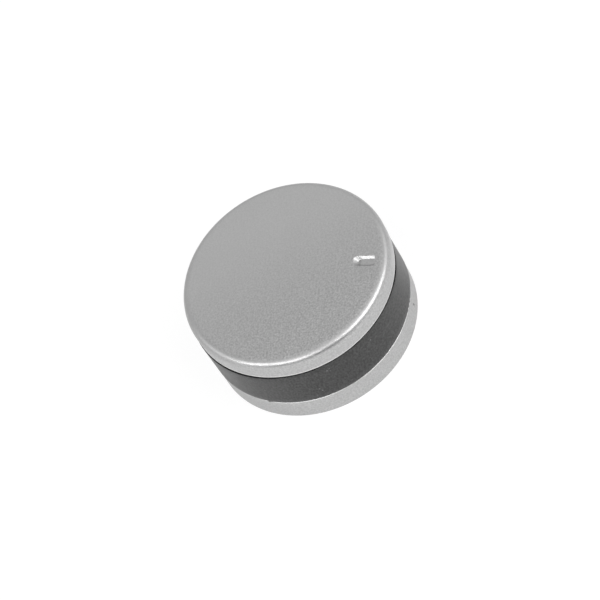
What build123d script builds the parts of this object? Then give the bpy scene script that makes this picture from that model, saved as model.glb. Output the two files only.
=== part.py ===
from build123d import *
import os

# A push-on control knob. Its axis is Z, its base ring stands on the XY plane
# and its pointer looks along +Y. All sizes are in millimetres.

# Overall
knob_radius = 22.0
knob_height = 20.3

# Face cap: a disc with a short rim
cap_height = 4.55  # from the face down to the lower edge of the rim
cap_top = 2.0  # thickness of the face
cap_wall = 1.9  # thickness of the rim
cap_edge_radius = 1.85  # rounding from the face into the rim
cap_rim_chamfer = 0.15  # along the rim's lower edge
cap_fit = 0.1  # radial play between the rim and the neck of the body

# Pointer: a shallow trough in the face with sloping walls
pointer_length = 5.0
pointer_width = 2.45
pointer_depth = 0.42
pointer_inset = 2.45  # from its outer end to the side of the knob
pointer_bevel = 0.5  # run of the sloping walls
pointer_ramp = 1.3  # longer run of the wall at the inner end
pointer_lean = 5.0  # degrees between its length and the radius that it lies on

# Snap legs under the face cap, each with a barb that catches below the deck
leg_count = 4
leg_thickness = 1.2
leg_width = 4.0
leg_inset = 4.2  # from the drum's inner wall to the leg
barb_reach = 0.6
barb_height = 1.7
barb_land = 0.3  # blunt end below the barb
leg_fit = 0.15  # play between a leg and its window

# Grip band: a rubber sleeve
band_thickness = 1.6
band_proud = 0.05  # how far its surface stands out from the side of the knob
band_gap = 0.35  # shadow line between the band and the rim of the cap
band_edge_chamfer = 0.2
band_fit = 0.05  # radial play between the band and the drum

# Body: base ring, drum under the band, deck under the cap
base_height = 5.6
base_wall = 2.0
base_edge_chamfer = 0.2
foot_chamfer = 0.15
drum_wall = 1.6
deck_thickness = 1.8
root_chamfer = 0.5  # where the drum meets the deck

# Hub with a D-shaped socket for the shaft
hub_radius = 6.75
hub_recess = 1.5  # from the base plane up to the mouth
hub_lip_chamfer = 0.4  # lead for the collar, round the mouth
shaft_diameter = 8.0
shaft_flat = 6.5  # across the shaft, from its flat to the far side
shaft_fit = 0.05  # radial play of the shaft
socket_depth = 12.0
socket_lead = 0.4  # chamfer round the mouth
slot_width = 1.2  # saw slot that splits the hub in two jaws
slot_depth = 9.0

# Spring collar: an open ring of strip steel in a groove round the hub
collar_thickness = 0.7
collar_height = 4.6
collar_opening = 4.0  # width of the gap between its ends
collar_lip = 1.0  # from the mouth of the hub to the groove
collar_play = 0.1  # room above and below the collar in its groove
collar_fit = 0.05  # radial play between the collar and the groove
groove_depth = 0.4

# Ribs from the hub to the drum
rib_count = 4
rib_thickness = 1.2
rib_clearance = 0.8  # from the groove up to the ribs
rib_outer_depth = 5.0  # height of a rib at the drum

# Heights
deck_top = knob_height - cap_top
deck_bottom = deck_top - deck_thickness
rim_bottom = knob_height - cap_height
band_top = rim_bottom - band_gap
shelf_bottom = base_height - base_wall
groove_bottom = hub_recess + collar_lip
groove_top = groove_bottom + collar_height + 2 * collar_play
rib_bottom = groove_top + rib_clearance
barb_top = deck_bottom - leg_fit
leg_tip = barb_top - barb_height - barb_land

# Radii
band_radius = knob_radius + band_proud
band_bore = band_radius - band_thickness
drum_radius = band_bore - band_fit
drum_bore = drum_radius - drum_wall
base_bore = knob_radius - base_wall
rim_bore = knob_radius - cap_wall
neck_radius = rim_bore - cap_fit
leg_outer = drum_bore - leg_inset
leg_inner = leg_outer - leg_thickness
barb_radius = leg_outer + barb_reach
groove_radius = hub_radius - groove_depth
collar_bore = groove_radius + collar_fit
socket_radius = shaft_diameter / 2 + shaft_fit
flat_distance = shaft_flat - shaft_diameter / 2 + shaft_fit
rib_root = drum_wall / 2  # how deep a rib runs into the walls that it joins

os.makedirs("parts", exist_ok=True)


def radial_plane(turn):
    """The upright plane through the axis whose x direction lies at this angle."""
    outward = Vector(1, 0, 0).rotate(Axis.Z, turn)
    sideways = Vector(0, -1, 0).rotate(Axis.Z, turn)
    return Plane(origin=(0, 0, 0), x_dir=outward, z_dir=sideways)


def turns(count, start):
    """Evenly spaced angles round the axis."""
    return [start + step * 360 / count for step in range(count)]


# Face cap
pointer_centre = knob_radius - pointer_inset - pointer_length / 2
pointer_floor_shift = (pointer_ramp - pointer_bevel) / 2
pointer_floor_length = pointer_length - pointer_ramp - pointer_bevel
pointer_floor_width = pointer_width - 2 * pointer_bevel
pointer_plane = Plane(
    origin=(0, pointer_centre, 0),
    x_dir=Vector(1, 0, 0).rotate(Axis.Z, -pointer_lean),
    z_dir=(0, 0, 1),
)

with BuildPart() as front_cap:
    with BuildSketch(Plane.XZ):
        with BuildLine():
            Polyline(
                (0, knob_height),
                (knob_radius, knob_height),
                (knob_radius, rim_bottom),
                (rim_bore, rim_bottom),
                (rim_bore, deck_top),
                (0, deck_top),
                close=True,
            )
        make_face()
        outer_corners = vertices().group_by(Axis.X)[-1].sort_by(Axis.Y)
        fillet(outer_corners[-1], radius=cap_edge_radius)
        chamfer(vertices().group_by(Axis.X)[-1].sort_by(Axis.Y)[0], length=cap_rim_chamfer)
    revolve(axis=Axis.Z)
    # Snap legs, each drawn as an upright section and given its width
    for turn in turns(leg_count, 0):
        with BuildSketch(radial_plane(turn)):
            with BuildLine():
                Polyline(
                    (leg_inner, deck_top + cap_top / 2),
                    (leg_outer, deck_top + cap_top / 2),
                    (leg_outer, barb_top),
                    (barb_radius, barb_top),
                    (leg_outer, barb_top - barb_height),
                    (leg_outer, leg_tip),
                    (leg_inner, leg_tip),
                    close=True,
                )
            make_face()
        extrude(amount=leg_width / 2, both=True)
    # Pointer trough, from its outline in the face to its smaller floor
    with BuildSketch(pointer_plane.offset(knob_height)):
        SlotOverall(pointer_length, pointer_width, rotation=90)
    with BuildSketch(pointer_plane.offset(knob_height - pointer_depth)):
        with Locations((0, pointer_floor_shift)):
            SlotOverall(pointer_floor_length, pointer_floor_width, rotation=90)
    loft(ruled=True, mode=Mode.SUBTRACT)
front_cap.part.label = "front_cap"
export_step(front_cap.part, "parts/front_cap.step")

# Grip band
with BuildPart() as grip_band:
    with BuildSketch(Plane.XZ):
        with BuildLine():
            Polyline(
                (band_bore, base_height),
                (band_radius, base_height),
                (band_radius, band_top),
                (band_bore, band_top),
                close=True,
            )
        make_face()
        chamfer(vertices().group_by(Axis.X)[-1], length=band_edge_chamfer)
    revolve(axis=Axis.Z)
grip_band.part.label = "grip_band"
export_step(grip_band.part, "parts/grip_band.step")

# Knob body
with BuildPart() as knob_body:
    with BuildSketch(Plane.XZ):
        with BuildLine():
            Polyline(
                (base_bore, 0),
                (knob_radius, 0),
                (knob_radius, base_height),
                (drum_radius, base_height),
                (drum_radius, rim_bottom),
                (neck_radius, rim_bottom),
                (neck_radius, deck_top),
                (0, deck_top),
                (0, deck_bottom),
                (drum_bore, deck_bottom),
                (drum_bore, shelf_bottom),
                (base_bore, shelf_bottom),
                close=True,
            )
        make_face()
        chamfer(vertices().group_by(Axis.X)[-1].sort_by(Axis.Y)[-1], length=base_edge_chamfer)
        chamfer(vertices().group_by(Axis.X)[-1].sort_by(Axis.Y)[0], length=foot_chamfer)
    revolve(axis=Axis.Z)
    inner_roots = edges().filter_by(GeomType.CIRCLE).filter_by_position(Axis.Z, deck_bottom, deck_bottom)
    chamfer(inner_roots, length=root_chamfer)
    # Windows that the snap legs pass through
    for turn in turns(leg_count, 0):
        with BuildSketch(radial_plane(turn)):
            with BuildLine():
                Polyline(
                    (leg_inner - leg_fit, deck_bottom),
                    (barb_radius + leg_fit, deck_bottom),
                    (barb_radius + leg_fit, deck_top),
                    (leg_inner - leg_fit, deck_top),
                    close=True,
                )
            make_face()
        extrude(amount=leg_width / 2 + leg_fit, both=True, mode=Mode.SUBTRACT)
    # Hub, with a chamfered mouth
    with BuildSketch(Plane.XY.offset(hub_recess)):
        Circle(hub_radius)
    extrude(amount=deck_top - hub_recess)
    chamfer(edges().filter_by_position(Axis.Z, hub_recess, hub_recess), length=hub_lip_chamfer)
    # Ribs, deep at the hub and shallow at the drum
    for turn in turns(rib_count, 180 / rib_count):
        with BuildSketch(radial_plane(turn)):
            with BuildLine():
                Polyline(
                    (hub_radius - rib_root, rib_bottom),
                    (hub_radius, rib_bottom),
                    (drum_bore, deck_bottom - rib_outer_depth),
                    (drum_bore + rib_root, deck_bottom - rib_outer_depth),
                    (drum_bore + rib_root, deck_bottom + deck_thickness / 2),
                    (hub_radius - rib_root, deck_bottom + deck_thickness / 2),
                    close=True,
                )
            make_face()
        extrude(amount=rib_thickness / 2, both=True)
    # Groove for the spring collar
    with BuildSketch(Plane.XY.offset(groove_bottom)):
        Circle(hub_radius)
        Circle(groove_radius, mode=Mode.SUBTRACT)
    extrude(amount=groove_top - groove_bottom, mode=Mode.SUBTRACT)
    # D-shaped socket, its flat towards the pointer
    with BuildSketch(Plane.XY.offset(hub_recess)):
        Circle(socket_radius)
        with Locations((0, flat_distance)):
            Rectangle(
                2 * socket_radius,
                socket_radius,
                align=(Align.CENTER, Align.MIN),
                mode=Mode.SUBTRACT,
            )
    extrude(amount=socket_depth, mode=Mode.SUBTRACT)
    mouth = faces().filter_by(Axis.Z).filter_by_position(Axis.Z, hub_recess, hub_recess)
    chamfer(mouth.face().inner_wires().edges(), length=socket_lead)
    # Slot that splits the hub beside the flat
    with BuildSketch(Plane.XY.offset(hub_recess)):
        Rectangle(2 * hub_radius, slot_width)
    extrude(amount=slot_depth, mode=Mode.SUBTRACT)
knob_body.part.label = "knob_body"
export_step(knob_body.part, "parts/knob_body.step")

# Spring collar, open opposite the flat of the socket
with BuildPart() as spring_collar:
    with BuildSketch(Plane.XY.offset(groove_bottom + collar_play)):
        Circle(collar_bore + collar_thickness)
        Circle(collar_bore, mode=Mode.SUBTRACT)
        Rectangle(
            collar_opening,
            collar_bore + collar_thickness,
            align=(Align.CENTER, Align.MAX),
            mode=Mode.SUBTRACT,
        )
    extrude(amount=collar_height)
spring_collar.part.label = "spring_collar"
export_step(spring_collar.part, "parts/spring_collar.step")
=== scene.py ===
"""A push-on control knob: a silver face cap with a sunk pointer, a rubber grip band and a silver base ring.

The knob stands on its base ring on a pale floor, with its axis along Z and its pointer along +Y. Lengths
are in metres, apart from the tables and shader values that are said to be in millimetres.
"""
import math

import bpy
import numpy as np
from mathutils import Matrix, Vector


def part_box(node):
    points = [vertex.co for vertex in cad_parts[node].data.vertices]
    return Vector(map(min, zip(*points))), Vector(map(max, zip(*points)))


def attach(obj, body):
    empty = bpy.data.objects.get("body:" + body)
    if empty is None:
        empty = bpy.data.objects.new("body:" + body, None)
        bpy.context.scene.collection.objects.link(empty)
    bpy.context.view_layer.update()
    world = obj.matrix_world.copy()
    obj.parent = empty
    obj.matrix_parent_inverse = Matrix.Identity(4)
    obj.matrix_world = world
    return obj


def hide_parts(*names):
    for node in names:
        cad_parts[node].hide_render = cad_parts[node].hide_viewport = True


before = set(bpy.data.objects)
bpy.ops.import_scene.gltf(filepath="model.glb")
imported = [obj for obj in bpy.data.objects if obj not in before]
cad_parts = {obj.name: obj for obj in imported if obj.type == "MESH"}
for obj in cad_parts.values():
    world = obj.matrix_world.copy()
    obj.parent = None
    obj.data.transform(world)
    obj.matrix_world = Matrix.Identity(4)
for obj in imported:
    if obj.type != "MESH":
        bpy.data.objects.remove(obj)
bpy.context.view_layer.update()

MM = 0.001
TINY = 1e-9  # keeps a sum that is divided by off zero

# Places read from the frame
cap_low, cap_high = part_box("front_cap")
band_low, band_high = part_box("grip_band")
_, body_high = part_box("knob_body")
KNOB_RADIUS = cap_high.x
KNOB_HEIGHT = cap_high.z
LEG_TIP = cap_low.z
BAND_RADIUS = band_high.x
BASE_HEIGHT = band_low.z
DECK_TOP = body_high.z

# Face cap
CAP_EDGE_RADIUS = 1.85 * MM  # from the face into the rim
CAP_RIM_RADIUS = 0.1 * MM  # round the rim's lower edge
RIM_BOTTOM = KNOB_HEIGHT - 4.5 * MM
RIM_BORE = KNOB_RADIUS - 1.9 * MM
RIM_TILT = 0.07 * MM  # how far the lower edge runs askew
RIM_TILT_TURN = math.radians(121.5)  # where it is highest
CAP_ROWS = {"face": 14, "trough": 90, "edge": 25, "lip": 7, "under": 9}
CAP_COLUMNS = {"trough": 110, "rest": 240}
SHARP_EDGE = math.radians(35)

# Pointer trough, sunk in the face along a line that leans a little off the radius. Its outline and its floor
# are in millimetres from its middle: the distance of each wall, the slant of the inner one, and the rounding
# of each corner.
POINTER_CENTRE = 17.11 * MM
POINTER_LEAN = math.radians(5.0)
POINTER_DEPTH = 0.47 * MM
POINTER_FALL = 0.037  # slope of the floor, down towards the inner end
POINTER_SCOOP = 0.23 * MM  # how much deeper the floor is scooped at the inner end
POINTER_SCOOP_RUN = (0.7, 1.7)  # millimetres from the middle, where the scoop begins and where it is full
POINTER_LIP_ROUNDING = 0.15
POINTER_OUTLINE = {"far": 1.3, "near": 1.1, "inner": 2.53, "outer": 2.15, "slant": 0.16}
POINTER_OUTLINE_CORNERS = {
    ("far", "inner"): 1.04, ("near", "inner"): 1.17, ("near", "outer"): 0.45, ("far", "outer"): 0.45}
POINTER_FLOOR = {"far": 0.82, "near": 0.56, "inner": 1.42, "outer": 2.05, "slant": 0.34}
POINTER_FLOOR_CORNERS = {
    ("far", "inner"): 0.57, ("near", "inner"): 0.7, ("near", "outer"): 0.45, ("far", "outer"): 0.15}
POINTER_TURN = math.pi / 2
POINTER_SECTOR = math.radians(6.5)  # half the turn over which the cap's columns lie close together
POINTER_MARGIN = 0.3  # millimetres before the outline, where the cap's rows start to lie close together

# Snap legs under the cap
LEG_COUNT = 4
LEG_OUTER = 14.6 * MM
LEG_INNER = 13.4 * MM
LEG_WIDTH = 4.0 * MM
LEG_ROOT = DECK_TOP + 1.0 * MM
BARB_RADIUS = 15.2 * MM
BARB_TOP = DECK_TOP - 1.95 * MM
BARB_BOTTOM = BARB_TOP - 1.7 * MM

# Rubber sleeve, a little uneven where it was stretched over the drum
SLEEVE_BORE = BAND_RADIUS - 1.6 * MM
SLEEVE_TOP_EDGE = 0.08 * MM
SLEEVE_TOP_FALL = 0.8 * MM  # how much lower its top face lies at the bore
SLEEVE_LIP_EDGE = 0.02 * MM
SLEEVE_OVAL_TURN = math.radians(31.7)
SLEEVE_COLUMNS = 1080
SLEEVE_ROWS = {"top": 6, "side": 8, "lip": 4}

# The sleeve's slow waves round the knob, in millimetres: a mean, one wave and two waves
SLEEVE_TOP_INSET = (0.02, 0.13, 0.0)
SLEEVE_LIP_PROUD = (0.04, 0.01, -0.015)
SLEEVE_GAP = (0.56, 0.08, -0.3)

# The sleeve's uneven places: depths in millimetres, and turns in degrees. A rise or a fall is eased from none
# at its first turn to full at its second.
SLACK_DEPTH = 0.4
SLACK_RISE = (74, 94)
SLACK_FALL = (160, 112)
SAG_DEPTH = 0.6
SAG_RISE = (94, 107)
SAG_FALL = (190, 110)
SCALLOP_DEPTH = 0.15
SCALLOP_SPAN = (85, 10)  # the middle of the run and its reach
SCALLOP_COUNT = 120
SCALLOP_PHASE = math.radians(30)
LIP_DROPS = ((0.15, 92.5, 3.5), (0.22, -15.5, 2.4), (0.26, -16.5, 1.0))  # depth, place and reach of each
LIP_ROUGHNESS = 0.03
LIP_WAVES = np.array([23, 41, 67, 103, 149])
LIP_SEED = 5
LIP_LIFT = 0.02
LIP_HANG_LIMITS = (-0.18, 1.0)

# Camera, as the photograph was taken
VIEW_AZIMUTH = math.radians(121.5)
VIEW_ELEVATION = math.radians(51.6)
VIEW_ROLL = math.radians(32.1)
CAMERA_DISTANCE = 0.44
CAMERA_LENS = 131.0
CAMERA_SENSOR = 36
CAMERA_CLIP = 0.01
AIM_HEIGHT = KNOB_HEIGHT - 4.55 * MM
AIM_RIGHT = 1.836 * MM
AIM_DOWN = 3.515 * MM

# Room: two fixed directions, to its front and to its right
ROOM_FRONT = (math.sin(VIEW_AZIMUTH), -math.cos(VIEW_AZIMUTH), 0)
ROOM_RIGHT = (math.cos(VIEW_AZIMUTH), math.sin(VIEW_AZIMUTH), 0)

# Lamps: turn from the room's front, elevation and roll in degrees, width and height in metres, and radiance
LAMP_DISTANCE = 0.6
LAMPS = {
    "softbox_left": (-52.5, 34.2, -14, 0.67, 0.125, 4.8),
    "softbox_right": (50.5, 37.3, 14.5, 0.61, 0.181, 4.2),
    "fill_left": (-100, 21, 0, 0.44, 0.25, 0.68),
    "fill_right": (98, 23, 0, 0.4, 0.25, 0.62),
}

# The room's own light: pairs of degrees above the horizon and the level there, and how it rises to the right
FRONT_LEVELS = ((0, 1.7), (3, 1.7), (7, 0.0), (31, 0.0), (40, 1.07), (66, 1.05), (90, 0.68))
BACK_LEVELS = ((0, 0.45), (25, 0.68), (50, 0.63), (70, 0.83), (90, 0.68))
LEVEL_SCALE = 2.0  # a colour ramp holds no more than 1, so the levels in it are divided by this
FRONT_START = (0.05, 0.55)  # how far a direction faces the front where the back goes over into it
FRONT_TILT = 0.4
BACK_TILT = 0.06
CEILING_TILT = 0.7
CEILING_POWER = 4.0

# Floor. In this block and in the finishes below, the first two values of an easing are where it starts and
# ends, and the next two are its values there, or else 0 and 1. The four values of the ring, and of what lies
# beside the knob, are where a share begins, is full, fades and is gone.
FLOOR_RADIUS = 3.0
FLOOR_DROP = 0.02 * MM
FLOOR_SIDES = 96
FLOOR_PALE = 0.86
FLOOR_PALE_SEEN = 0.22
FLOOR_PALE_GLOSS = 0.62
FLOOR_WHITE_SEEN = 0.82
# Painted light and shade in the floor's glow as seen in gloss: a painted shadow of the knob towards the back
# and close round its foot, and painted pools of light in a ring round it and close beside it
GLOW_SHADE_BY_FACING = (-0.7, 0.9, 0.1, 0.335)  # by how far a place faces the front
RING_GLOW_BY_FACING = (-1.1, 0.5, 0.1, 0.335)
GLOW_RING_SPAN = (0.023, 0.03, 0.04, 0.06)  # by the distance from the axis
GLOW_POOL_FACING = (-0.7, -0.3, 0.05, 0.35)  # by how far a place faces the front
GLOW_POOL_DISTANCE = (0.024, 0.0262, 0.0275, 0.033)  # by the distance from the axis
GLOW_POOL_GAIN = (-0.5, 0.5, 0.2, 0.34)  # by how far a place lies to the right

# Silver paint, with lengths in millimetres
SILVER = 0.57
SILVER_ROUGHNESS = 0.38
SILVER_METALLIC = 0.97
BARE_PLASTIC = 0.06
BARE_ROUGHNESS = 0.55
PAINT_RADIUS = (20.4, 20.8)  # where the paint covers the plastic, by the distance from the axis
PAINT_HEIGHT = (DECK_TOP / MM + 0.2, DECK_TOP / MM + 0.6)  # or by the height
FRINGE_SCALE = 1.2
FRINGE_OUTWARD = 0.8
FRINGE_UPWARD = 0.6
# Towards this side the grain is coarser, and a painted shade makes the silver darker
GRAIN_AND_SHADE_SIDE = math.radians(28)
PAINTED_SHADE_SPAN = (-0.7 * KNOB_RADIUS / MM, 0.5 * KNOB_RADIUS / MM)  # by the distance towards that side
SPRAY_COARSER = (-0.6 * KNOB_RADIUS / MM, KNOB_RADIUS / MM, 0.25, 1.0)
GRAIN_UNDER_FACE = (KNOB_HEIGHT / MM - 0.15, KNOB_HEIGHT / MM - 0.02, 0.4, 1.0)  # by the height
GRAIN_UNDER_EDGE = (KNOB_HEIGHT / MM - 1.2, KNOB_HEIGHT / MM - 0.7, 1.6, 1.0)
GRAIN_SCALE = 2.4
GRAIN_HEIGHT = 0.012 * MM
SPECKLE_SCALE = 2.8
SPECKLE_TONE = 0.85
MOTTLE_SCALE = 0.15
MOTTLE_TONE = 0.03
# Painted shade: how much darker the silver is towards that side
PAINTED_SHADE_TONE = -0.11
# Painted highlight: paler silver in a line along an edge, with its strength on the rim and on the base ring
EDGE_HIGHLIGHT = (0.1, 0.5, 1.0, 0.0)  # by the distance from the edge
RIM_HIGHLIGHT_TONE = 0.5
BASE_HIGHLIGHT_TONE = 0.15

# Specks, as shares of their size: what the smallest has, and the part that is not faded
SPECK_LEAST = 0.4
SPECK_CORE = 0.5

# Marks on the side of the knob: places and reaches in degrees of turn and in millimetres of height
MARK_FRAY_SCALE = 2.2
MARK_FRAY = 1.2
MARK_EDGE = (0.3, 1.0, 1.0, 0.0)  # by the distance from the mark's middle, as a share of its reach
NICK = {"Turn At": 90.1, "Height At": 2.8, "Turn Reach": 1.0, "Height Reach": 0.85, "Lean": -0.9}
NICK_COLOR = (0.1, 0.1, 0.1, 1)
NICK_COVER = 0.9
RUB = {"Turn At": 64.0, "Height At": 11.2, "Turn Reach": 6.0, "Height Reach": 0.4}
RUB_TONE = 0.015

# Rubber
RUBBER = 0.024
RUBBER_ROUGHNESS = 0.37
BLOOM_SCALE = 0.5
BLOOM_TONE = 0.7 * RUBBER
BLOOM_ROUGHNESS = 0.1
SKIN_SCALE = 2.6
SKIN_STRETCH = (1, 1, 0.7)
SKIN_TONE = 4.4 * RUBBER
SKIN_HEIGHT = 0.012 * MM
BAND_DUST = {"Scale": 0.8, "Share": 0.14, "Size": 0.16}
BAND_DUST_TONE = 0.12

# Spring steel
STEEL = 0.55
STEEL_ROUGHNESS = 0.32
ROLLED_TURN = 0.03  # how close the lines' pattern lies along the strip
ROLLED_ACROSS = 4.0  # and across it
ROLLED_SCALE = 2.0
ROLLED_TONE = 0.15
ROLLED_ROUGHNESS = 0.2
ROLLED_HEIGHT = 0.004 * MM
STEEL_FLECKS = {"Scale": 1.2, "Share": 0.2, "Size": 0.2}
STEEL_FLECK_TONE = -0.12


# Meshes
def put(name, data):
    """A new object in the scene that holds this data."""
    thing = bpy.data.objects.new(name, data)
    bpy.context.scene.collection.objects.link(thing)
    return thing


def shade(mesh):
    """Makes a mesh smooth but for its sharp edges."""
    mesh.polygons.foreach_set("use_smooth", np.ones(len(mesh.polygons), bool))
    mesh.set_sharp_from_angle(angle=SHARP_EDGE)
    mesh.update()


def mesh_piece(name, points, faces):
    """A shaded mesh object at the origin from points and faces."""
    mesh = bpy.data.meshes.new(name)
    mesh.from_pydata(points.tolist(), [], faces)
    mesh.validate()
    shade(mesh)
    return put(name, mesh)


def grid_faces(rows, columns, wrap_rows=False):
    """Quads of a grid that closes round its columns, and round its rows too if asked."""
    last = rows if wrap_rows else rows - 1
    row, column = np.meshgrid(np.arange(last), np.arange(columns), indexing="ij")
    below = (row + 1) % rows
    beside = (column + 1) % columns
    corners = [(row, column), (below, column), (below, beside), (row, beside)]
    return np.stack([r * columns + c for r, c in corners], -1).reshape(-1, 4).tolist()


def arc(centre_r, centre_z, radius, start, end, steps):
    """Points (r, z) of a circular arc from one angle to the other, in degrees from the r axis."""
    angle = np.radians(np.linspace(start, end, steps))
    return np.stack([centre_r + radius * np.cos(angle), centre_z + radius * np.sin(angle)], -1)


def turned(r, z, turns):
    """A grid of points: radius r and height z, a row for each, carried round the axis to each angle."""
    r, z, turns = np.broadcast_arrays(r, z, turns)
    return np.stack([r * np.cos(turns), r * np.sin(turns), z], -1)


def smooth(value, low, high):
    """A value eased from 0 to 1 while it goes from low to high."""
    share = np.clip((value - low) / (high - low), 0, 1)
    return share ** 2 * (3 - 2 * share)


def past_outline(across, along, walls, radii):
    """Distance past a four-walled outline with a rounding of its own at each corner, negative inside.

    The wall at the inner end is slanted. Near a corner the distance is that from the rounding's centre, less
    its radius. Elsewhere it is the distance past the nearer wall.
    """
    side = np.where(across < (walls["near"] - walls["far"]) / 2, "far", "near")
    end = np.where(along < (walls["outer"] - walls["inner"]) / 2, "inner", "outer")
    radius = sum(value * ((side == key[0]) & (end == key[1])) for key, value in radii.items())
    past_side = np.maximum(-across - walls["far"], across - walls["near"])
    past_inner = (walls["slant"] * across - along - walls["inner"]) / math.hypot(1, walls["slant"])
    past_end = np.maximum(past_inner, along - walls["outer"])
    rounded = np.hypot(past_side + radius, past_end + radius) - radius
    return np.where((past_side > -radius) & (past_end > -radius), rounded, np.maximum(past_side, past_end))


def trough_drop(x, y):
    """Depth of the pointer trough under a point of the face: full on the floor, none at the outline.

    The floor falls a little towards the inner end and is scooped out deeper there. The level of a wall point
    is its distance from the floor as a share of the way from the floor to the outline. The wall's height is
    that level, blended with one less the square of what is left above it, which rounds the lip.
    """
    across = (x * math.cos(POINTER_LEAN) - (y - POINTER_CENTRE) * math.sin(POINTER_LEAN)) / MM
    along = (x * math.sin(POINTER_LEAN) + (y - POINTER_CENTRE) * math.cos(POINTER_LEAN)) / MM
    from_floor = np.maximum(past_outline(across, along, POINTER_FLOOR, POINTER_FLOOR_CORNERS), 0)
    to_outline = np.maximum(-past_outline(across, along, POINTER_OUTLINE, POINTER_OUTLINE_CORNERS), 0)
    level = from_floor / (from_floor + to_outline + TINY)
    rounded = 1 - (1 - level) ** 2
    height = (1 - POINTER_LIP_ROUNDING) * level + POINTER_LIP_ROUNDING * rounded
    scoop = POINTER_SCOOP * smooth(-along, *POINTER_SCOOP_RUN)
    depth = POINTER_DEPTH - POINTER_FALL * along * MM + scoop
    return np.where(to_outline > 0, depth * (1 - height), 0)


def rim_edge(turns):
    """Height of the rim's lower edge, which runs a little askew round the knob as one wave in the turn."""
    return RIM_BOTTOM + RIM_TILT * np.cos(turns - RIM_TILT_TURN)


def make_face_cap():
    """The cap is a profile turned about Z, with the trough sunk into its face as a drop in z.

    Rows and columns lie close together over the trough and further apart elsewhere.
    """
    face_end = KNOB_RADIUS - CAP_EDGE_RADIUS
    trough_start = POINTER_CENTRE - (POINTER_OUTLINE["inner"] + POINTER_MARGIN) * MM
    face_r = np.concatenate([
        np.linspace(0, trough_start, CAP_ROWS["face"], endpoint=False),
        np.linspace(trough_start, face_end, CAP_ROWS["trough"], endpoint=False),
    ])
    face = np.stack([face_r, np.full_like(face_r, KNOB_HEIGHT)], -1)
    edge = arc(face_end, KNOB_HEIGHT - CAP_EDGE_RADIUS, CAP_EDGE_RADIUS, 90, 0, CAP_ROWS["edge"])
    lip_r = KNOB_RADIUS - CAP_RIM_RADIUS
    lip = arc(lip_r, RIM_BOTTOM + CAP_RIM_RADIUS, CAP_RIM_RADIUS, 0, -90, CAP_ROWS["lip"])
    under_r = np.linspace(RIM_BORE, 0, CAP_ROWS["under"])
    under = np.stack([under_r, np.full_like(under_r, DECK_TOP)], -1)
    profile = np.concatenate([face, edge, lip, [(RIM_BORE, RIM_BOTTOM)], under])
    close = np.linspace(-POINTER_SECTOR, POINTER_SECTOR, CAP_COLUMNS["trough"], endpoint=False)
    rest = np.linspace(POINTER_SECTOR, 2 * math.pi - POINTER_SECTOR, CAP_COLUMNS["rest"], endpoint=False)
    turns = POINTER_TURN + np.concatenate([close, rest])
    points = turned(profile[:, :1], profile[:, 1:], turns)
    askew = slice(len(face) + len(edge), len(profile) - len(under))
    points[askew, :, 2] += rim_edge(turns) - RIM_BOTTOM
    points[:len(face), :, 2] -= trough_drop(points[:len(face), :, 0], points[:len(face), :, 1])
    rows = len(profile) - 2
    columns = len(turns)
    body = points[1:-1].reshape(-1, 3)
    poles = np.array([(0, 0, KNOB_HEIGHT), (0, 0, DECK_TOP)])
    top = len(body)
    bottom = top + 1
    ring = np.arange(columns)
    beside = (ring + 1) % columns
    last = (rows - 1) * columns
    faces = grid_faces(rows, columns)
    faces += np.stack([np.full(columns, top), ring, beside], -1).tolist()
    faces += np.stack([np.full(columns, bottom), last + beside, last + ring], -1).tolist()
    return mesh_piece("face_cap", np.concatenate([body, poles]), faces)


def make_snap_legs():
    """Each leg is an upright section with a barb, given its width along the ring, at even turns about Z."""
    section = np.array([
        (LEG_INNER, LEG_ROOT),
        (LEG_OUTER, LEG_ROOT),
        (LEG_OUTER, BARB_TOP),
        (BARB_RADIUS, BARB_TOP),
        (LEG_OUTER, BARB_BOTTOM),
        (LEG_OUTER, LEG_TIP),
        (LEG_INNER, LEG_TIP),
    ])
    corners = len(section)
    turns = np.arange(LEG_COUNT)[:, None, None] * 2 * math.pi / LEG_COUNT
    sides = np.array([-LEG_WIDTH / 2, LEG_WIDTH / 2])[None, :, None]
    r, z = section.T
    x = r * np.cos(turns) - sides * np.sin(turns)
    y = r * np.sin(turns) + sides * np.cos(turns)
    points = np.stack(np.broadcast_arrays(x, y, z), -1).reshape(-1, 3)
    here = np.arange(corners)
    ahead = (here + 1) % corners
    walls = np.stack([here, ahead, ahead + corners, here + corners], -1).tolist()
    one_leg = walls + [(here + corners).tolist(), here[::-1].tolist()]
    faces = [[leg * 2 * corners + i for i in face] for leg in range(LEG_COUNT) for face in one_leg]
    return mesh_piece("snap_legs", points, faces)


def unite(piece, other):
    """Makes one closed mesh of two with an exact Boolean union, and removes the second object."""
    union = piece.modifiers.new("union", "BOOLEAN")
    union.operation = "UNION"
    union.solver = "EXACT"
    union.object = other
    whole = bpy.data.meshes.new_from_object(piece.evaluated_get(bpy.context.evaluated_depsgraph_get()))
    piece.modifiers.clear()
    piece.data = whole
    whole.name = piece.name
    bpy.data.objects.remove(other)
    shade(whole)


def bump_at(turns, place, reach):
    """A smooth bump of height 1 round the angle place, gone at reach, both in degrees."""
    away = (np.degrees(turns) - place + 180) % 360 - 180
    return np.clip(1 - (away / reach) ** 2, 0, 1) ** 2


def ragged(turns, waves, seed):
    """A rough line round the knob: the mean of sine waves of these counts, with seeded phases."""
    phases = np.random.default_rng(seed).uniform(0, 2 * math.pi, len(waves))
    return np.sin(np.outer(waves, turns) + phases[:, None]).mean(0)


def slow_wave(turns, mean, one, two):
    """A mean with one sine wave and two cosine waves round the knob, counted from the sleeve's oval turn."""
    swing = turns - SLEEVE_OVAL_TURN
    return (mean + one * np.sin(swing) + two * np.cos(2 * swing)) * MM


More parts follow.
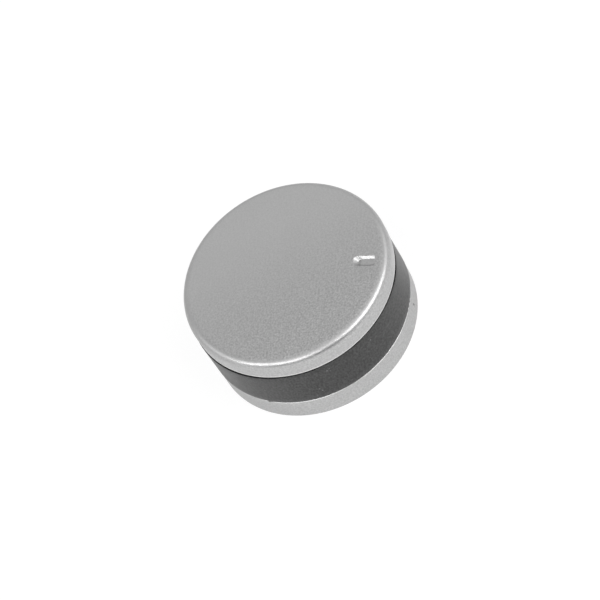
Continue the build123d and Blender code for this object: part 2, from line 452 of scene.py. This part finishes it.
def lip_hang(turns):
    """How far the sleeve's lower lip hangs under the band's foot.

    It is the sum of a rough line, a run of small scallops, a long sag eased in and out, and a few drops. The
    first drop starts the sag, and the others are one drip.
    """
    degrees = np.degrees(turns)
    rough = LIP_ROUGHNESS * ragged(turns, LIP_WAVES, LIP_SEED)
    scallops = SCALLOP_DEPTH * bump_at(turns, *SCALLOP_SPAN) * np.sin(SCALLOP_COUNT * turns + SCALLOP_PHASE)
    sag = SAG_DEPTH * smooth(degrees, *SAG_RISE) * smooth(degrees, *SAG_FALL)
    drops = sum(depth * bump_at(turns, place, reach) for depth, place, reach in LIP_DROPS)
    return np.clip(rough + scallops + sag + drops - LIP_LIFT, *LIP_HANG_LIMITS) * MM


def make_grip_sleeve():
    """The sleeve is a closed rounded section carried round Z, with its size changing on the way.

    Its top and bottom radius and its gap under the cap follow slow waves in the turn, and the gap is slack at
    one side. Its lower lip hangs a little over the base ring's chamfer.
    """
    turns = np.linspace(0, 2 * math.pi, SLEEVE_COLUMNS, endpoint=False)
    degrees = np.degrees(turns)
    top_r = KNOB_RADIUS - slow_wave(turns, *SLEEVE_TOP_INSET)
    low_r = KNOB_RADIUS + slow_wave(turns, *SLEEVE_LIP_PROUD)
    slack = SLACK_DEPTH * MM * smooth(degrees, *SLACK_RISE) * smooth(degrees, *SLACK_FALL)
    top_z = rim_edge(turns) - slow_wave(turns, *SLEEVE_GAP) - slack
    lip_z = BASE_HEIGHT - lip_hang(turns)

    top_turn = np.radians(np.linspace(90, 0, SLEEVE_ROWS["top"]))[:, None]
    low_turn = np.radians(np.linspace(0, -90, SLEEVE_ROWS["lip"]))[:, None]
    side_share = np.linspace(0, 1, SLEEVE_ROWS["side"])[1:-1, None]
    top_arc_r = top_r - SLEEVE_TOP_EDGE * (1 - np.cos(top_turn))
    top_arc_z = top_z - SLEEVE_TOP_EDGE * (1 - np.sin(top_turn))
    low_arc_r = low_r - SLEEVE_LIP_EDGE * (1 - np.cos(low_turn))
    low_arc_z = lip_z + SLEEVE_LIP_EDGE * (1 + np.sin(low_turn))
    side_r = top_r + side_share * (low_r - top_r)
    side_z = top_arc_z[-1] + side_share * (low_arc_z[0] - top_arc_z[-1])
    back_r = np.array([KNOB_RADIUS, KNOB_RADIUS, SLEEVE_BORE, SLEEVE_BORE])[:, None] + 0 * turns
    foot_z = np.full_like(turns, BASE_HEIGHT)
    back_z = np.stack([lip_z, foot_z, foot_z, top_z - SLEEVE_TOP_FALL])
    r = np.concatenate([top_arc_r, side_r, low_arc_r, back_r])
    z = np.concatenate([top_arc_z, side_z, low_arc_z, back_z])
    points = turned(r, z, turns)
    faces = grid_faces(len(r), SLEEVE_COLUMNS, wrap_rows=True)
    return mesh_piece("grip_sleeve", points.reshape(-1, 3), faces)


# Shader nodes
def add(tree, kind, inputs=None, **settings):
    """A new shader node. An input that is given a socket is linked to it, and any other is set."""
    node = tree.nodes.new("ShaderNode" + kind)
    for key, value in settings.items():
        setattr(node, key, value)
    for key, value in (inputs or {}).items():
        if isinstance(value, bpy.types.NodeSocket):
            tree.links.new(value, node.inputs[key])
        else:
            node.inputs[key].default_value = value
    return node


def link_all(tree, values, sockets):
    """Links each value to the socket of its name."""
    for label, value in values.items():
        tree.links.new(value, sockets[label])


def calc(tree, operation, *values):
    """The result of a Math node."""
    return add(tree, "Math", dict(enumerate(values)), operation=operation).outputs[0]


def dot(tree, vector, direction):
    """How far a vector reaches along a direction."""
    return add(tree, "VectorMath", {0: vector, 1: direction}, operation="DOT_PRODUCT").outputs["Value"]


def length(tree, vector):
    """The length of a vector."""
    return add(tree, "VectorMath", {0: vector}, operation="LENGTH").outputs["Value"]


def stretch(tree, vector, factors):
    """A vector with each of its parts multiplied by a factor."""
    return add(tree, "VectorMath", {0: vector, 1: factors}, operation="MULTIPLY").outputs["Vector"]


def ease(tree, value, low, high, start=0.0, end=1.0):
    """A value eased from start to end while it goes from low to high."""
    inputs = {"Value": value, "From Min": low, "From Max": high, "To Min": start, "To Max": end}
    return add(tree, "MapRange", inputs, interpolation_type="SMOOTHSTEP").outputs[0]


def between(tree, value, begins, full, fades, gone):
    """A share that is eased from 0 to 1 and, further on, back to 0."""
    return calc(tree, "MULTIPLY", ease(tree, value, begins, full), ease(tree, value, fades, gone, 1.0, 0.0))


def cloud(tree, place, scale, detail=1.0):
    """Noise of about -0.5 to 0.5."""
    noise = add(tree, "TexNoise", {"Vector": place, "Scale": scale, "Detail": detail})
    return calc(tree, "SUBTRACT", noise.outputs["Fac"], 0.5)


def blend(tree, share, start, end):
    """The value that lies this share of the way from start to end."""
    return add(tree, "Mix", {"Factor": share, "A": start, "B": end}).outputs[0]


def mix_color(tree, share, start, end):
    """The colour that lies this share of the way from start to end."""
    return add(tree, "MixRGB", {"Fac": share, "Color1": start, "Color2": end}).outputs[0]


def grey(tree, value):
    """A grey of this value."""
    return add(tree, "CombineColor", {"Red": value, "Green": value, "Blue": value}).outputs[0]


def new_group(name, inputs, outputs):
    """An empty node group with sockets of these names: the group, what it is given, and what it puts out."""
    group = bpy.data.node_groups.new(name, "ShaderNodeTree")
    for direction, sockets in (("INPUT", inputs), ("OUTPUT", outputs)):
        for label in sockets:
            kind = {"Place": "NodeSocketVector", "Color": "NodeSocketColor"}.get(label, "NodeSocketFloat")
            group.interface.new_socket(label, in_out=direction, socket_type=kind)
    given = group.nodes.new("NodeGroupInput").outputs if inputs else {}
    result = group.nodes.new("NodeGroupOutput")
    return group, given, result.inputs


def use(tree, name, inputs=None):
    """Places a node group and gives its output sockets."""
    return add(tree, "Group", inputs, node_tree=groups[name]).outputs


def pick(sockets, *labels):
    """Some of a node's sockets by their names."""
    return {label: sockets[label] for label in labels}


def knob_coordinates():
    """Object coordinates in millimetres, the distance from the axis, the height, and the turn in degrees."""
    group, _, result = new_group("knob_coordinates", [], ["Place", "Radius", "Height", "Turn"])
    place = add(group, "TexCoord").outputs["Object"]
    place = add(group, "VectorMath", {0: place, "Scale": 1 / MM}, operation="SCALE").outputs["Vector"]
    split = add(group, "SeparateXYZ", {0: place}).outputs
    radius = length(group, stretch(group, place, (1, 1, 0)))
    turn = calc(group, "DEGREES", calc(group, "ARCTAN2", split["Y"], split["X"]))
    link_all(group, {"Place": place, "Radius": radius, "Height": split["Z"], "Turn": turn}, result)
    return group


def silver_coat():
    """Sprayed silver over bare plastic that shows inside, with a painted highlight along one edge.

    Towards one side its grain is coarser, and a painted shade makes the silver darker there. The grain is
    calmer in the trough and on the rounded edge and, less so, on the sides.
    """
    inputs = ["Place", "Radius", "Height", "Edge", "Line"]
    group, given, result = new_group("silver_coat", inputs, ["Color", "Metallic", "Roughness", "Grain"])
    place = given["Place"]
    height = given["Height"]
    fringe = cloud(group, place, FRINGE_SCALE, detail=3.0)
    outward = calc(group, "MULTIPLY_ADD", fringe, FRINGE_OUTWARD, given["Radius"])
    upward = calc(group, "MULTIPLY_ADD", fringe, FRINGE_UPWARD, height)
    cover = calc(group, "MAXIMUM", ease(group, outward, *PAINT_RADIUS), ease(group, upward, *PAINT_HEIGHT))
    # Painted shade: the silver is made darker towards one side
    side = dot(group, place, (math.cos(GRAIN_AND_SHADE_SIDE), math.sin(GRAIN_AND_SHADE_SIDE), 0))
    painted_shade = ease(group, side, *PAINTED_SHADE_SPAN)
    below_face = ease(group, height, *GRAIN_UNDER_FACE)
    below_edge = ease(group, height, *GRAIN_UNDER_EDGE)
    calm = calc(group, "MULTIPLY", below_face, below_edge)
    coarse = calc(group, "MULTIPLY", ease(group, side, *SPRAY_COARSER), calm)
    speckle = calc(group, "MULTIPLY", cloud(group, place, SPECKLE_SCALE), coarse)
    grain = calc(group, "MULTIPLY", cloud(group, place, GRAIN_SCALE), coarse)
    mottle = cloud(group, place, MOTTLE_SCALE, detail=2.0)
    # Painted highlight: the silver is made paler in a line along the edge
    from_edge = calc(group, "ABSOLUTE", calc(group, "SUBTRACT", height, given["Edge"]))
    edge_highlight = calc(group, "MULTIPLY", ease(group, from_edge, *EDGE_HIGHLIGHT), given["Line"])
    tone = calc(group, "MULTIPLY_ADD", speckle, SPECKLE_TONE, 1.0)
    tone = calc(group, "MULTIPLY_ADD", mottle, MOTTLE_TONE, tone)
    tone = calc(group, "MULTIPLY_ADD", painted_shade, PAINTED_SHADE_TONE, tone)
    tone = calc(group, "ADD", tone, edge_highlight)
    silver = calc(group, "MULTIPLY", tone, SILVER)
    roughness = calc(group, "MULTIPLY_ADD", mottle, MOTTLE_TONE, SILVER_ROUGHNESS)
    results = {
        "Color": grey(group, blend(group, cover, BARE_PLASTIC, silver)),
        "Metallic": calc(group, "MULTIPLY", cover, SILVER_METALLIC),
        "Roughness": blend(group, cover, BARE_ROUGHNESS, roughness),
        "Grain": grain,
    }
    link_all(group, results, result)
    return group


def dust_flecks():
    """Scattered specks: the middles of a share of random cells."""
    group, given, result = new_group("dust_flecks", ["Place", "Scale", "Share", "Size"], ["Flecks"])
    cells = add(group, "TexVoronoi", {"Vector": given["Place"], "Scale": given["Scale"]}).outputs
    chance = add(group, "SeparateColor", {"Color": cells["Color"]}).outputs
    chosen = calc(group, "LESS_THAN", chance["Red"], given["Share"])
    size = calc(group, "MULTIPLY", given["Size"], calc(group, "ADD", chance["Green"], SPECK_LEAST))
    core = calc(group, "MULTIPLY", size, SPECK_CORE)
    speck = ease(group, cells["Distance"], core, size, 1.0, 0.0)
    link_all(group, {"Flecks": calc(group, "MULTIPLY", chosen, speck)}, result)
    return group


def side_mark():
    """A soft oval mark with a frayed edge on the side of the knob, at one turn in degrees and one height.

    Its lean is how many degrees of turn it moves for each millimetre of height.
    """
    inputs = ["Place", "Turn", "Height", "Turn At", "Height At", "Turn Reach", "Height Reach", "Lean"]
    group, given, result = new_group("side_mark", inputs, ["Mask"])
    above = calc(group, "SUBTRACT", given["Height"], given["Height At"])
    beside = calc(group, "SUBTRACT", given["Turn"], given["Turn At"])
    beside = calc(group, "SUBTRACT", beside, calc(group, "MULTIPLY", above, given["Lean"]))
    across = calc(group, "DIVIDE", beside, given["Turn Reach"])
    up = calc(group, "DIVIDE", above, given["Height Reach"])
    squares = calc(group, "ADD", calc(group, "POWER", across, 2), calc(group, "POWER", up, 2))
    away = calc(group, "SQRT", squares)
    fray = cloud(group, given["Place"], MARK_FRAY_SCALE, detail=2.0)
    frayed = calc(group, "MULTIPLY_ADD", fray, MARK_FRAY, away)
    link_all(group, {"Mask": ease(group, frayed, *MARK_EDGE)}, result)
    return group


groups = {make.__name__: make() for make in (knob_coordinates, silver_coat, dust_flecks, side_mark)}


# Materials
def new_material(name, **values):
    """A material with one Principled shader whose named sockets are set."""
    material = bpy.data.materials.new(name)
    material.use_nodes = True
    shader = material.node_tree.nodes["Principled BSDF"]
    for key, value in values.items():
        shader.inputs[key].default_value = value
    return material, material.node_tree, shader.inputs


def bump(tree, height, distance):
    """A normal roughened by a height."""
    return add(tree, "Bump", {"Height": height, "Distance": distance, "Strength": 1.0}).outputs["Normal"]


def silver_paint(name, edge, line, nick=None):
    """Sprayed silver with a painted highlight of this strength along the edge at this height, and perhaps a
    nick.
    """
    material, tree, inputs = new_material(name)
    spot = use(tree, "knob_coordinates")
    around = pick(spot, "Place", "Radius", "Height")
    coat = use(tree, "silver_coat", {**around, "Edge": edge / MM, "Line": line})
    color = coat["Color"]
    if nick:
        mask = use(tree, "side_mark", {**pick(spot, "Place", "Turn", "Height"), **nick})["Mask"]
        color = mix_color(tree, calc(tree, "MULTIPLY", mask, NICK_COVER), color, NICK_COLOR)
    normal = bump(tree, coat["Grain"], GRAIN_HEIGHT)
    link_all(tree, {"Base Color": color, **pick(coat, "Metallic", "Roughness"), "Normal": normal}, inputs)
    return material


def band_rubber():
    """Dark moulded rubber with a dull bloom, specks of dust and one faint rub mark."""
    material, tree, inputs = new_material("band_rubber")
    spot = use(tree, "knob_coordinates")
    bloom = cloud(tree, spot["Place"], BLOOM_SCALE, detail=3.0)
    skin = cloud(tree, stretch(tree, spot["Place"], SKIN_STRETCH), SKIN_SCALE, detail=2.0)
    flecks = use(tree, "dust_flecks", {**pick(spot, "Place"), **BAND_DUST})["Flecks"]
    rub = use(tree, "side_mark", {**pick(spot, "Place", "Turn", "Height"), **RUB})["Mask"]
    tone = calc(tree, "MULTIPLY_ADD", bloom, BLOOM_TONE, RUBBER)
    tone = calc(tree, "MULTIPLY_ADD", skin, SKIN_TONE, tone)
    tone = calc(tree, "MULTIPLY_ADD", flecks, BAND_DUST_TONE, tone)
    tone = calc(tree, "MULTIPLY_ADD", rub, RUB_TONE, tone)
    roughness = calc(tree, "MULTIPLY_ADD", bloom, BLOOM_ROUGHNESS, RUBBER_ROUGHNESS)
    normal = bump(tree, skin, SKIN_HEIGHT)
    link_all(tree, {"Base Color": grey(tree, tone), "Roughness": roughness, "Normal": normal}, inputs)
    return material


def spring_steel():
    """Rolled strip, with fine lines along its length and a few dull flecks."""
    material, tree, inputs = new_material("spring_steel", Metallic=1.0)
    spot = use(tree, "knob_coordinates")
    rolled = add(tree, "CombineXYZ", {
        "X": calc(tree, "MULTIPLY", spot["Turn"], ROLLED_TURN),
        "Y": calc(tree, "MULTIPLY", spot["Radius"], ROLLED_ACROSS),
        "Z": calc(tree, "MULTIPLY", spot["Height"], ROLLED_ACROSS),
    }).outputs[0]
    lines = cloud(tree, rolled, ROLLED_SCALE, detail=2.0)
    flecks = use(tree, "dust_flecks", {**pick(spot, "Place"), **STEEL_FLECKS})["Flecks"]
    tone = calc(tree, "MULTIPLY_ADD", lines, ROLLED_TONE, STEEL)
    tone = calc(tree, "MULTIPLY_ADD", flecks, STEEL_FLECK_TONE, tone)
    roughness = calc(tree, "MULTIPLY_ADD", lines, ROLLED_ROUGHNESS, STEEL_ROUGHNESS)
    normal = bump(tree, lines, ROLLED_HEIGHT)
    link_all(tree, {"Base Color": grey(tree, tone), "Roughness": roughness, "Normal": normal}, inputs)
    return material


def pale_floor():
    """A pale floor that shows as white to the camera and in gloss, and still takes the knob's soft shadow.

    In gloss its glow is painted light and shade: a painted shadow of the knob makes it darker towards the
    room's back and close round the knob's foot. It grows brighter towards the front, sooner so in a ring
    round the knob, and a painted pool of light makes it brighter again close beside the knob, more so on the
    right.
    """
    material = bpy.data.materials.new("pale_floor")
    material.use_nodes = True
    tree = material.node_tree
    tree.nodes.clear()
    path = add(tree, "LightPath").outputs
    seen = path["Is Camera Ray"]
    mirrored = path["Is Glossy Ray"]
    pale = blend(tree, mirrored, blend(tree, seen, FLOOR_PALE, FLOOR_PALE_SEEN), FLOOR_PALE_GLOSS)
    # The glow seen in gloss is painted light and shade, set by where a place lies round the knob
    place = add(tree, "TexCoord").outputs["Object"]
    outward = add(tree, "VectorMath", {0: place}, operation="NORMALIZE").outputs["Vector"]
    facing = dot(tree, outward, ROOM_FRONT)
    sideways = dot(tree, outward, ROOM_RIGHT)
    distance = length(tree, place)
    ring = between(tree, distance, *GLOW_RING_SPAN)
    gloss = blend(tree, ring, ease(tree, facing, *GLOW_SHADE_BY_FACING), ease(tree, facing, *RING_GLOW_BY_FACING))
    close = between(tree, distance, *GLOW_POOL_DISTANCE)
    beside = calc(tree, "MULTIPLY", between(tree, facing, *GLOW_POOL_FACING), close)
    gloss = calc(tree, "MULTIPLY_ADD", beside, ease(tree, sideways, *GLOW_POOL_GAIN), gloss)
    white = blend(tree, mirrored, calc(tree, "MULTIPLY", seen, FLOOR_WHITE_SEEN), gloss)
    lit = add(tree, "BsdfDiffuse", {"Color": grey(tree, pale)})
    glow = add(tree, "Emission", {"Strength": white})
    both = add(tree, "AddShader", {0: lit.outputs[0], 1: glow.outputs[0]})
    add(tree, "OutputMaterial", {"Surface": both.outputs[0]})
    return material


def dress(piece, material):
    """Gives a piece this material alone."""
    piece.data.materials.clear()
    piece.data.materials.append(material)


# The knob
face_cap = make_face_cap()
unite(face_cap, make_snap_legs())
dress(face_cap, silver_paint("silver_paint", RIM_BOTTOM, RIM_HIGHLIGHT_TONE))
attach(face_cap, "root")
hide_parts("front_cap")

grip_sleeve = make_grip_sleeve()
dress(grip_sleeve, band_rubber())
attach(grip_sleeve, "root")
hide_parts("grip_band")

painted_body = silver_paint("painted_body", BASE_HEIGHT, BASE_HIGHLIGHT_TONE, NICK)
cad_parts["knob_body"].material_slots[0].material = painted_body
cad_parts["spring_collar"].material_slots[0].material = spring_steel()


# Floor
def make_floor():
    """A flat disc just under the knob's foot."""
    ring = np.linspace(0, 2 * math.pi, FLOOR_SIDES, endpoint=False)
    level = np.full_like(ring, -FLOOR_DROP)
    points = np.stack([FLOOR_RADIUS * np.cos(ring), FLOOR_RADIUS * np.sin(ring), level], -1)
    mesh = bpy.data.meshes.new("floor")
    mesh.from_pydata(points.tolist(), [], [list(range(FLOOR_SIDES))])
    return put("floor", mesh)


floor = make_floor()
dress(floor, pale_floor())


# Camera
def view_axes(azimuth, elevation, roll):
    """Right, up and back directions of a camera or lamp that looks from here, rolled about its own axis."""
    level = math.cos(elevation)
    back = Vector((math.sin(azimuth) * level, -math.cos(azimuth) * level, math.sin(elevation)))
    right = Vector((math.cos(azimuth), math.sin(azimuth), 0))
    up = back.cross(right)
    return (right * math.cos(roll) - up * math.sin(roll), right * math.sin(roll) + up * math.cos(roll), back)


def aim(thing, axes, place):
    """Turns an object to these right, up and back directions, and sets it at this place."""
    thing.matrix_world = Matrix(axes).transposed().to_4x4()
    thing.location = place


def make_camera():
    """A camera that looks past the knob's middle, as the photograph is framed."""
    right, up, back = view_axes(VIEW_AZIMUTH, VIEW_ELEVATION, VIEW_ROLL)
    centre = Vector((0, 0, AIM_HEIGHT))
    place = centre + back * CAMERA_DISTANCE
    target = centre + right * AIM_RIGHT - up * AIM_DOWN
    back = (place - target).normalized()
    right = up.cross(back).normalized()
    up = back.cross(right)
    data = bpy.data.cameras.new("camera")
    data.lens = CAMERA_LENS
    data.sensor_width = CAMERA_SENSOR
    data.clip_start = CAMERA_CLIP
    camera = put("camera", data)
    aim(camera, (right, up, back), place)
    bpy.context.scene.camera = camera


make_camera()


# Light
def softbox(name, swing, elevation, roll, width, height, radiance):
    """A rectangular lamp that looks at the knob from beside the room's front, rolled about its own axis."""
    data = bpy.data.lights.new(name, "AREA")
    data.shape = "RECTANGLE"
    data.size = width
    data.size_y = height
    data.energy = radiance * math.pi * width * height
    axes = view_axes(VIEW_AZIMUTH + math.radians(swing), math.radians(elevation), math.radians(roll))
    aim(put(name, data), axes, axes[2] * LAMP_DISTANCE + Vector((0, 0, KNOB_HEIGHT)))


def level_ramp(tree, height, levels):
    """The room's level by the height above the horizon, as a share of what a colour ramp can hold."""
    ramp = add(tree, "ValToRGB", {"Fac": height})
    elements = ramp.color_ramp.elements
    while len(elements) < len(levels):
        elements.new(0.5)
    for element, (degrees, level) in zip(elements, levels):
        element.position = degrees / 90
        element.color = (level / LEVEL_SCALE, level / LEVEL_SCALE, level / LEVEL_SCALE, 1)
    return ramp.outputs["Color"]


def studio_world():
    """A plain pale room, with levels of their own for its front and its back.

    The front has a dark strip above the horizon. The room is brighter to the right, at the back most of all
    on the ceiling.
    """
    world = bpy.data.worlds.new("studio")
    bpy.context.scene.world = world
    world.use_nodes = True
    tree = world.node_tree
    direction = add(tree, "TexCoord").outputs["Generated"]
    rise = add(tree, "SeparateXYZ", {0: direction}).outputs["Z"]
    height = calc(tree, "DIVIDE", calc(tree, "ARCSINE", rise), math.pi / 2)
    share = ease(tree, dot(tree, direction, ROOM_FRONT), *FRONT_START)
    back = level_ramp(tree, height, BACK_LEVELS)
    front = level_ramp(tree, height, FRONT_LEVELS)
    ceiling = calc(tree, "POWER", rise, CEILING_POWER)
    tilt = blend(tree, share, calc(tree, "MULTIPLY_ADD", ceiling, CEILING_TILT, BACK_TILT), FRONT_TILT)
    strength = calc(tree, "MULTIPLY_ADD", dot(tree, direction, ROOM_RIGHT), tilt, LEVEL_SCALE)
    sky = tree.nodes["Background"].inputs
    link_all(tree, {"Color": mix_color(tree, share, back, front), "Strength": strength}, sky)


for lamp, values in LAMPS.items():
    softbox(lamp, *values)
studio_world()

bpy.context.scene.view_settings.view_transform = "Standard"
